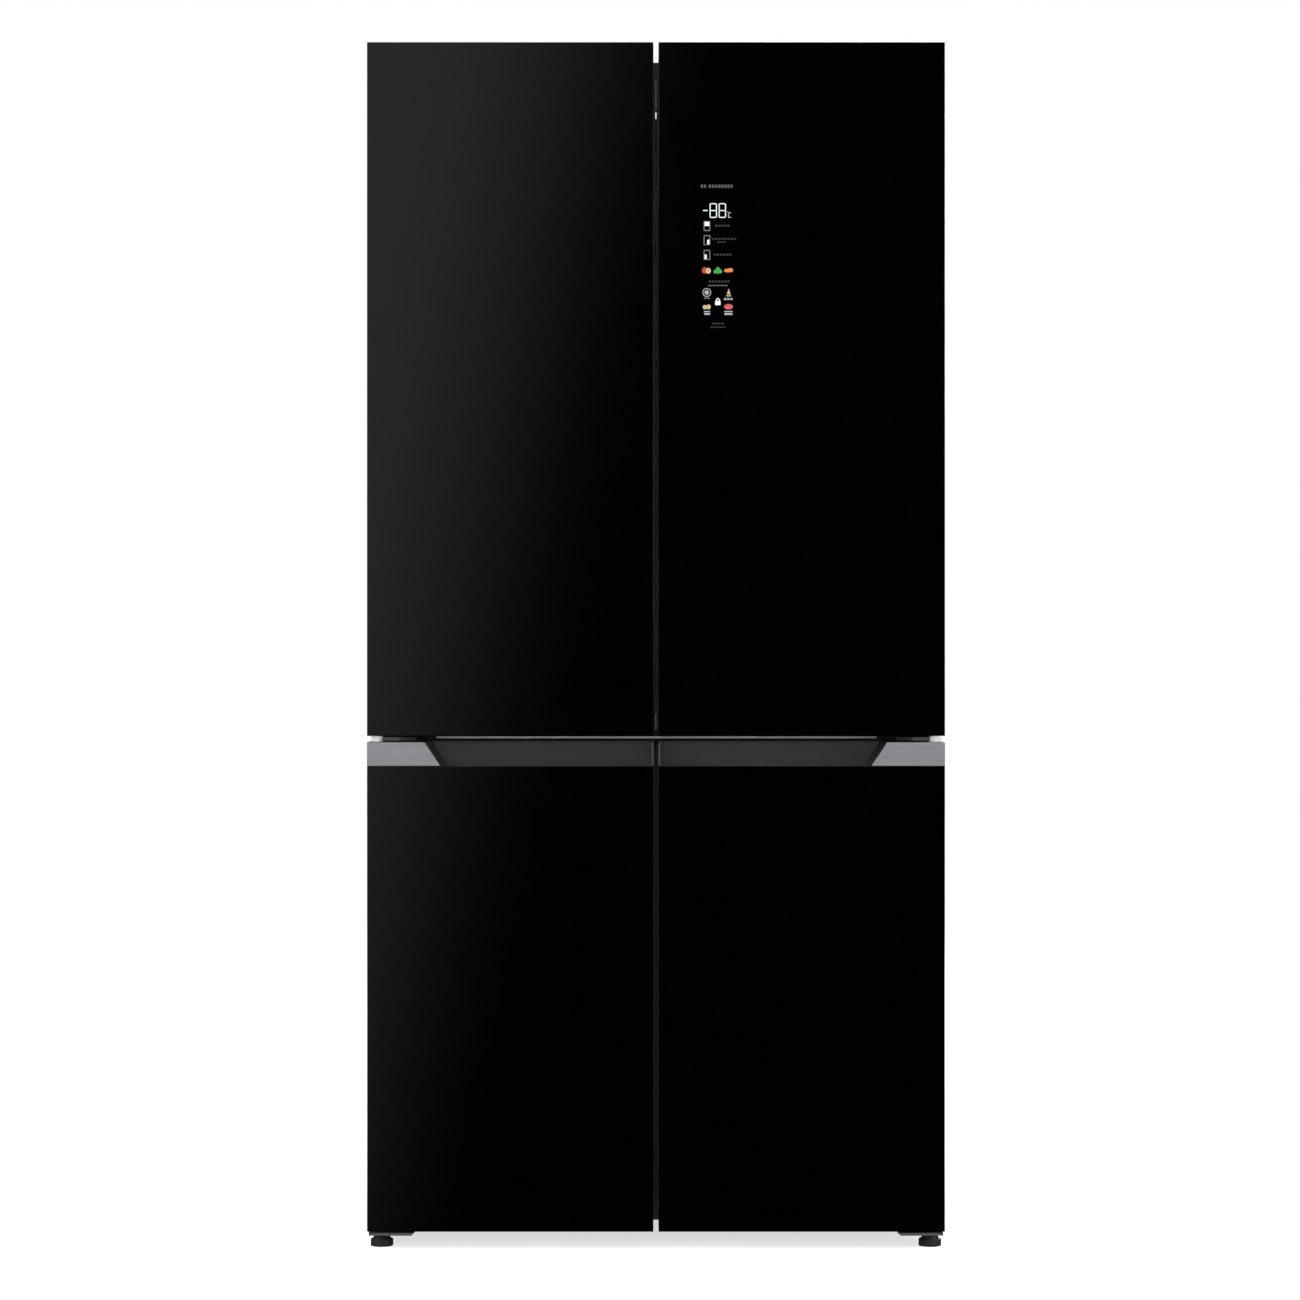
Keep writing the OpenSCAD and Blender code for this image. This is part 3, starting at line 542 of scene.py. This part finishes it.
def disc(x, z, rx, rz=None, turns=20):
    """Corners of an ellipse."""
    rz = rz or rx
    return [(x + rx * math.cos(2 * math.pi * i / turns), z + rz * math.sin(2 * math.pi * i / turns))
            for i in range(turns)]


def frame_lines(x, z, w, h, t):
    """Four bars round a rectangle."""
    return [bar(x, z, w, t), bar(x, z + h - t, w, t),
            bar(x, z + t, t, h - 2 * t), bar(x + w - t, z + t, t, h - 2 * t)]


def segment(x, z, length, t, upright):
    """One bar of a seven-segment digit, with pointed ends."""
    half = t / 2
    if upright:
        return [(x, z), (x + half, z + half), (x + half, z + length - half), (x, z + length),
                (x - half, z + length - half), (x - half, z + half)]
    return [(x, z), (x + half, z - half), (x + length - half, z - half), (x + length, z),
            (x + length - half, z + half), (x + half, z + half)]


def eight(x, z, w, h, t):
    """A digit with all seven segments lit, its lower left corner at x, z."""
    half = h / 2
    return ([segment(x, z + k * half, w, t, False) for k in range(3)]
            + [segment(x + side * w, z + k * half, half, t, True) for side in (0, 1) for k in (0, 1)])


soft_white = shining("lit print, soft white", "E8ECF4", 0.3)
mid_white = shining("lit print, mid white", "E8ECF4", 0.6)
low_white = shining("lit print, low white", "E8ECF4", 0.12)
faint_white = shining("lit print, faint white", "C8C8C4", 0.06)
digit_z = 1624.6
mark("display_digits", eight(85, digit_z, 10, 21.4, 1.5) + eight(99.2, digit_z, 10, 21.4, 1.5)
     + [bar(73.9, digit_z + 10, 7.6, 1.5)], lit_white)
mark("display_degree", [bar(113.4, digit_z + 6.6, 4.4, 1.2), bar(113.4, digit_z - 0.6, 1.2, 7.2),
                        bar(114.6, digit_z - 0.6, 3.4, 1.2), bar(111.6, digit_z + 8.4, 1.3, 1.3)], mid_white)
for i, (low_z, lit) in enumerate(((1603.4, (76.3, 1611, 7.5, 6.4)), (1581.2, (80.4, 1582.4, 3.4, 7)),
                                  (1558, (76.3, 1559.2, 3.4, 7)))):
    mark(f"display_compartment_{i}", frame_lines(75, low_z, 10, 15.2, 1.1), soft_white)
    mark(f"display_chosen_{i}", [bar(*lit)], lit_white)

# Captions: rows of plain bars. The top row has a wider gap after its second bar
bar_step = 4.9
bar_wide = 3.4
word_gap = 2.6
for i, (left, row_z, count, tall, lit) in enumerate((
        (70.4, 1671, 10, 5, low_white), (92.5, 1610, 5, 3, faint_white), (88, 1589.2, 8, 3, faint_white),
        (96.3, 1584.4, 3, 2.6, faint_white), (90.6, 1564.6, 6, 3, faint_white),
        (83, 1522.4, 7, 3, faint_white), (76, 1496.8, 2, 1.6, soft_white), (107, 1494.8, 3, 3, mid_white),
        (88.3, 1456.4, 4, 2.6, faint_white), (85.8, 1451, 5, 2.4, faint_white))):
    mark(f"display_caption_{i}",
         [bar(left + k * bar_step + (k > 1) * word_gap * (i == 0), row_z, bar_wide, tall)
          for k in range(count)], lit)
mark("display_tomato", [disc(76.4, 1541.2, 4.4, 5)], lit_red)
mark("display_tomato_half", [disc(82, 1540.6, 4.2, 4.6)], lit_cream)
mark("display_broccoli", [disc(93.4, 1539.4, 3), disc(97.2, 1543, 3.4), disc(101, 1539.6, 3),
                          bar(95.8, 1535.8, 2.8, 3.6)], lit_green)
mark("display_carrot", [disc(111.8, 1541, 4.8, 2.8), disc(117, 1541.6, 4.2, 3.4)], lit_orange)
mark("display_underline", [bar(81.8, 1517, 30.7, 1.1)], shining("lit print, underline", "B8B8A0", 0.4))


def arc(x, z, r, t, start, end, steps, squeeze=1.0):
    """Short quadrilaterals that follow a ring of outer radius r and width t between two angles."""
    turn = [start + (end - start) * k / steps for k in range(steps + 1)]
    return [[(x + q * math.cos(c), z + q * math.sin(c) * squeeze)
             for q, c in ((r, a), (r, b), (r - t, b), (r - t, a))] for a, b in zip(turn, turn[1:])]


fan_x, fan_z = 79.8, 1506.6
blade_off = 2.1
mark("display_fan", arc(fan_x, fan_z, 6.8, 1.1, 0, 2 * math.pi, 24)
     + [disc(fan_x + blade_off * math.cos(a), fan_z + blade_off * math.sin(a), 1.7)
        for a in (k * math.pi / 2 for k in range(4))], mid_white)
mark("display_tree", [[(111.4, 1503.6), (117.2, 1503.6), (114.3, 1513)], bar(110.2, 1500.6, 8, 1.5)],
     lit_cream)
mark("display_lock", [bar(93, 1486.8, 8.4, 6.6)] + arc(97.2, 1493.2, 3.4, 1.2, 0, math.pi, 8, 1.35),
     lit_white)
mark("display_bread", [disc(76.8, 1483.6, 3.6, 3.4), disc(82.6, 1484, 3.4, 3.8)], lit_cream)
mark("display_bread_base", [bar(75.4, 1475.8, 9.4, 1.6), bar(75.8, 1471.6, 9, 2.6)], mid_white)
mark("display_berry", [disc(113.9, 1484.2, 7, 4.4)], lit_pink)
mark("display_berry_base", [bar(107.2, 1475.8, 13, 1.6), bar(107.6, 1471.4, 12.4, 2.8)], mid_white)
dress(satin_abs, "display_module")

# ---------------------------------------------------------------------------------------------
# Shelves: tempered glass with its green cut edge, held in white moulded strips front and back.
# Lift-out shelves rest on ledges of the liner; the crisper cover is the lowest one.

clear_glass, tree = blank("tempered float glass")
spot = add(tree, "ShaderNodeTexCoord").outputs["Object"]
depth_tint = add(tree, "ShaderNodeTexNoise", {"Vector": spot, "Scale": 5.0})
green = add(tree, "ShaderNodeMix", {"Factor": depth_tint.outputs["Fac"], 6: lin("E6F2EE"), 7: lin("F0F8F5")},
            data_type="RGBA")
out(tree, add(tree, "ShaderNodeBsdfPrincipled", {
    "Base Color": green.outputs[2], "Roughness": 0.02, "IOR": 1.52, "Transmission Weight": 0.96}))
clear_glass["slot"] = "shelf_glass"
white_abs = moulded("moulded ABS, white", "C8C9C9", "CECFCF", 1.2 * MM, 0.33, 0.02 * MM, 0.0, 1.53,
                    sheen_spread=0.02)
white_abs["slot"] = "white_abs"

for name in ("shelf_1", "shelf_2", "shelf_3", "crisper_cover"):
    low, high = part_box(name)
    cover = name == "crisper_cover"
    pane_z = high[2] - (8 if cover else 16) * MM
    stop_top = pane_z + (6 if cover else 14) * MM
    back_y = high[1]
    front_edge = low[1]
    pane = slab(name + "_glass", (low[0] + 4 * MM, front_edge + 7 * MM, pane_z),
                (high[0] - 4 * MM, back_y - 3 * MM, pane_z + 4.5 * MM), clear_glass, "cabinet", 0.8 * MM)
    profile = [(0.3, -3), (10, -3), (12, 0), (12, 6), (3, 7.5), (0.3, 5)]
    strip(name + "_front_trim", [(front_edge + y * MM, pane_z + z * MM) for y, z in profile],
          0, low[0], high[0], white_abs, "cabinet", 1.2 * MM)
    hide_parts(name)
    slab(name + "_back_trim", (low[0], back_y - 7 * MM, pane_z - 1 * MM), (high[0], back_y, stop_top),
         white_abs, "cabinet", 1.4 * MM)
    slab(name + "_foil", (low[0] + 20 * MM, front_edge - 0.1 * MM, pane_z - 0.6 * MM),
         (high[0] - 20 * MM, front_edge + 1.2 * MM, pane_z + 4.0 * MM), satin_aluminium, "cabinet", 0.4 * MM)
low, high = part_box("crisper_cover")
divider_back = 0.232
slab("crisper_divider", (-3 * MM, low[1] + 12 * MM, low[2] + 1 * MM),
     (3 * MM, divider_back, high[2] - 13 * MM), white_abs, "cabinet", 1.2 * MM)

# ---------------------------------------------------------------------------------------------
# Bins, racks and drawers: injection moulded clear polystyrene, a little smoky, with draft on
# every wall, rounded corners and a rolled rim. The wall is thin, so edges look darker than faces.
# Its IOR is set below the 1.59 of real polystyrene, to keep the drawers easy to see through.

clear_ps, tree = blank("injection moulded polystyrene, clear")
spot = add(tree, "ShaderNodeTexCoord").outputs["Object"]
flow = add(tree, "ShaderNodeTexNoise", {"Vector": spot, "Scale": 8.0, "Detail": 3.0})
smoke = add(tree, "ShaderNodeMix", {"Factor": flow.outputs["Fac"], 6: lin("E9EEF0"), 7: lin("F3F6F7")},
            data_type="RGBA")
orange_peel = add(tree, "ShaderNodeBump", {"Height": flow.outputs["Fac"], "Strength": 0.15,
                                           "Distance": 0.3 * MM})
out(tree, add(tree, "ShaderNodeBsdfPrincipled", {
    "Base Color": smoke.outputs[2], "Roughness": 0.05, "IOR": 1.35, "Transmission Weight": 0.93,
    "Normal": orange_peel.outputs[0]}))
clear_ps["slot"] = "clear_plastic"


def rounded(low, high, corner, z, inset=0.0, steps=5):
    """Points round a rectangle with rounded corners, at one height."""
    x0, y0, x1, y1 = low[0] + inset, low[1] + inset, high[0] - inset, high[1] - inset
    r = max(corner - inset, 0.5 * MM)
    points = []
    for cx, cy, turn in ((x1 - r, y1 - r, 0), (x0 + r, y1 - r, 1), (x0 + r, y0 + r, 2), (x1 - r, y0 + r, 3)):
        for i in range(steps + 1):
            a = (turn + i / steps) * math.pi / 2
            points.append((cx + r * math.cos(a), cy + r * math.sin(a), z))
    return points


def tub(name, low, high, wall, body, draft=4 * MM, corner=14 * MM, rim=3 * MM):
    """An open-topped tub between two corners: drafted walls, a rounded floor and a turned-out rim."""
    z0, z1 = low[2], high[2]
    lean = [(draft + 4 * MM, z0), (draft, z0 + 4 * MM), (rim, z1 - 7 * MM), (rim, z1 - 5 * MM),
            (0, z1 - 5 * MM), (0, z1 - 0.8 * MM), (0.8 * MM, z1), (rim + wall - 0.5 * MM, z1),
            (rim + wall, z1 - 0.8 * MM), (draft + wall, z0 + wall + 4 * MM),
            (draft + wall + 4 * MM, z0 + wall)]
    shape = bmesh.new()
    rings = [[shape.verts.new(p) for p in rounded(low, high, corner, z, inset)] for inset, z in lean]
    around = len(rings[0])
    for a, b in zip(rings, rings[1:]):
        for i in range(around):
            shape.faces.new((a[i], a[(i + 1) % around], b[(i + 1) % around], b[i]))
    shape.faces.new(rings[0][::-1])
    shape.faces.new(rings[-1])
    return place(name, shape, clear_ps, body)


bin_tall = 0.110
rail_height = 0.104
hook_low, hook_high = 0.030, 0.092
bin_floors = {"upper": [z * MM for z in (885, 1215, 1500)], "lower": [z * MM for z in (150, 450)]}
for row, side in (("upper", "left"), ("upper", "right"), ("lower", "left"), ("lower", "right")):
    kind = "bins" if row == "upper" else "racks"
    node_name = f"{row}_{side}_{kind}"
    body = f"door_{row}_{side}"
    low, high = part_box(node_name)
    for i, floor_z in enumerate(bin_floors[row]):
        made = tub(f"{node_name}_{i}", (low[0], low[1], floor_z), (high[0], high[1], floor_z + bin_tall),
                   2.5 * MM, body)
        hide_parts(node_name)
        rail_top = floor_z + rail_height
        slab(f"{node_name}_rail_{i}", (low[0] + 16 * MM, high[1] - 2.6 * MM, rail_top - 16 * MM),
             (high[0] - 16 * MM, high[1] - 0.1 * MM, rail_top), satin_aluminium, body, 0.8 * MM)
        for k, x in enumerate((low[0], high[0] - 5 * MM)):
            slab(f"{node_name}_hook_{i}_{k}", (x, low[1] + 8 * MM, floor_z + hook_low),
                 (x + 5 * MM, low[1] + 30 * MM, floor_z + hook_high), white_abs, body, 1.5 * MM)

front_t = 15 * MM
pull = 44 * MM
for name in ("crisper_left", "crisper_right", "freezer_drawer_upper", "freezer_drawer_lower",
             "convertible_drawer_upper", "convertible_drawer_lower"):
    low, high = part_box(name)
    body_tub = tub(name + "_tub", (low[0], low[1] + front_t - 2 * MM, low[2]),
                   (high[0], high[1], high[2] - 2 * MM), 3 * MM, name,
                   draft=7 * MM, corner=20 * MM, rim=4 * MM)
    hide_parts(name)
    face_y = low[1]
    top = high[2]
    strip(name + "_front", [(face_y + 5 * MM, low[2] + 2 * MM), (face_y + front_t, low[2] + 2 * MM),
                            (face_y + front_t, top - pull), (face_y + 1 * MM, top - pull),
                            (face_y + 1 * MM, top - pull - 20 * MM)],
          0, low[0] + 1 * MM, high[0] - 1 * MM, clear_ps, name, 2.0 * MM)
    strip(name + "_pull", [(face_y, top - 1 * MM), (face_y + 1.5 * MM, top), (face_y + front_t, top),
                           (face_y + front_t, top - pull + 0.3 * MM),
                           (face_y + 8 * MM, top - pull + 0.3 * MM),
                           (face_y + 12 * MM, top - pull + 12 * MM), (face_y + 12 * MM, top - 12 * MM),
                           (face_y, top - 9 * MM)],
          0, low[0] + 1 * MM, high[0] - 1 * MM, white_abs, name, 1.0 * MM)

# ---------------------------------------------------------------------------------------------
# Lamps and air ducts: opal acrylic covers over the lamp strips, and white duct panels whose
# slots blow cold air between the shelves and into the lower drawers.

opal, tree = blank("opal acrylic")
spot = add(tree, "ShaderNodeTexCoord").outputs["Object"]
diodes = add(tree, "ShaderNodeTexNoise", {"Vector": spot, "Scale": 60.0})
level = add(tree, "ShaderNodeMapRange", {"Value": diodes.outputs["Fac"], "To Min": 1.0, "To Max": 1.5})
out(tree, add(tree, "ShaderNodeBsdfPrincipled", {
    "Base Color": lin("F6F6F0"), "Roughness": 0.4, "Emission Color": lin("FFFDF6"),
    "Emission Strength": level.outputs[0]}))
dress(opal, "led_lamps", edge=1.0 * MM)
dress(white_abs, "air_ducts", edge=1.0 * MM)

# ---------------------------------------------------------------------------------------------
# Machine compartment: a black enamelled compressor on rubber feet, a finned condenser with its
# fan, copper pipes brazed between them, and a louvred cover screwed over the opening.

enamel = moulded("stove enamel, black", "121213", "1B1B1D", 3.0 * MM, 0.3, 0.05 * MM, 0.0, 1.5, 0.4)
copper, tree = blank("drawn copper pipe")
spot = add(tree, "ShaderNodeTexCoord").outputs["Object"]
tarnish = add(tree, "ShaderNodeTexNoise", {"Vector": spot, "Scale": 30.0, "Detail": 5.0})
copper_tint = add(tree, "ShaderNodeMix", {"Factor": tarnish.outputs["Fac"], 6: lin("8A4A2C"),
                                          7: lin("D08A5C")}, data_type="RGBA")
worn = add(tree, "ShaderNodeMapRange", {"Value": tarnish.outputs["Fac"], "To Min": 0.2, "To Max": 0.45})
copper["slot"] = "hinge_steel"
out(tree, add(tree, "ShaderNodeBsdfPrincipled", {
    "Base Color": copper_tint.outputs[2], "Metallic": 1.0, "Roughness": worn.outputs[0]}))
fin_metal = moulded("mill finished aluminium", "A9ADB0", "C6CACC", 0.6 * MM, 0.35, 0.02 * MM, 1.0, 1.5)
rubber = moulded("moulded rubber, black", "161617", "202022", 0.8 * MM, 0.65, 0.05 * MM, 0.0, 1.52)
dress(enamel, "compressor", edge=0.8 * MM)
dress(fin_metal, "evaporator")
dress(dark_coat, "condenser")
dress(black_nylon, "fan_rotor", edge=0.3 * MM)
dress(rubber, "cord_gland", edge=0.5 * MM)


def pipe(name, points, radius):
    """A bent copper pipe through the points."""
    data = bpy.data.curves.new(name, "CURVE")
    data.dimensions = "3D"
    data.bevel_depth = radius
    data.bevel_resolution = 3
    line = data.splines.new("BEZIER")
    line.bezier_points.add(len(points) - 1)
    for knot, spot in zip(line.bezier_points, points):
        knot.co = spot
        knot.handle_left_type = knot.handle_right_type = "AUTO"
    data.materials.append(copper)
    made = bpy.data.objects.new(name, data)
    scene.collection.objects.link(made)
    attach(made, "cabinet")


pipe("discharge_pipe", [(-0.335, 0.264, 0.129), (-0.365, 0.27, 0.135), (-0.37, 0.30, 0.18),
                        (-0.30, 0.335, 0.215), (-0.12, 0.335, 0.22), (0.0, 0.32, 0.225),
                        (0.05, 0.285, 0.222), (0.055, 0.285, 0.205)], 3.2 * MM)
pipe("suction_pipe", [(-0.335, 0.23, 0.129), (-0.39, 0.225, 0.13), (-0.41, 0.21, 0.17),
                      (-0.41, 0.175, 0.215), (-0.40, 0.164, 0.24)], 3.8 * MM)
pipe("liquid_pipe", [(0.26, 0.285, 0.09), (0.30, 0.285, 0.092), (0.33, 0.26, 0.12),
                     (0.335, 0.20, 0.2), (0.335, 0.166, 0.24)], 2.6 * MM)
strip("relay_cover", [(-0.163, 0.222), (-0.150, 0.226), (-0.148, 0.25), (-0.150, 0.274), (-0.163, 0.278)],
      2, 0.091, 0.150, black_nylon, "cabinet", 2.0 * MM)
cover_low, cover_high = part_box("machine_cover")
cover_inset = 0.008
for i, x in enumerate((-0.435, -0.15, 0.15, 0.435)):
    for k, z in enumerate((cover_low[2] + cover_inset, cover_high[2] - cover_inset)):
        screw(f"cover_screw_{i}_{k}", (x, cover_high[1], z), (0, 1, 0), 3.6 * MM, "cabinet")
panel_x, panel_y = 0.442, 0.3475
lowest_screw, screw_step = 0.29, 0.222
for side in (-1, 1):
    tag = "left" if side < 0 else "right"
    for i in range(8):
        screw(f"panel_screw_{tag}_{i}", (side * panel_x, panel_y, lowest_screw + i * screw_step), (0, 1, 0),
              3.6 * MM, "cabinet")
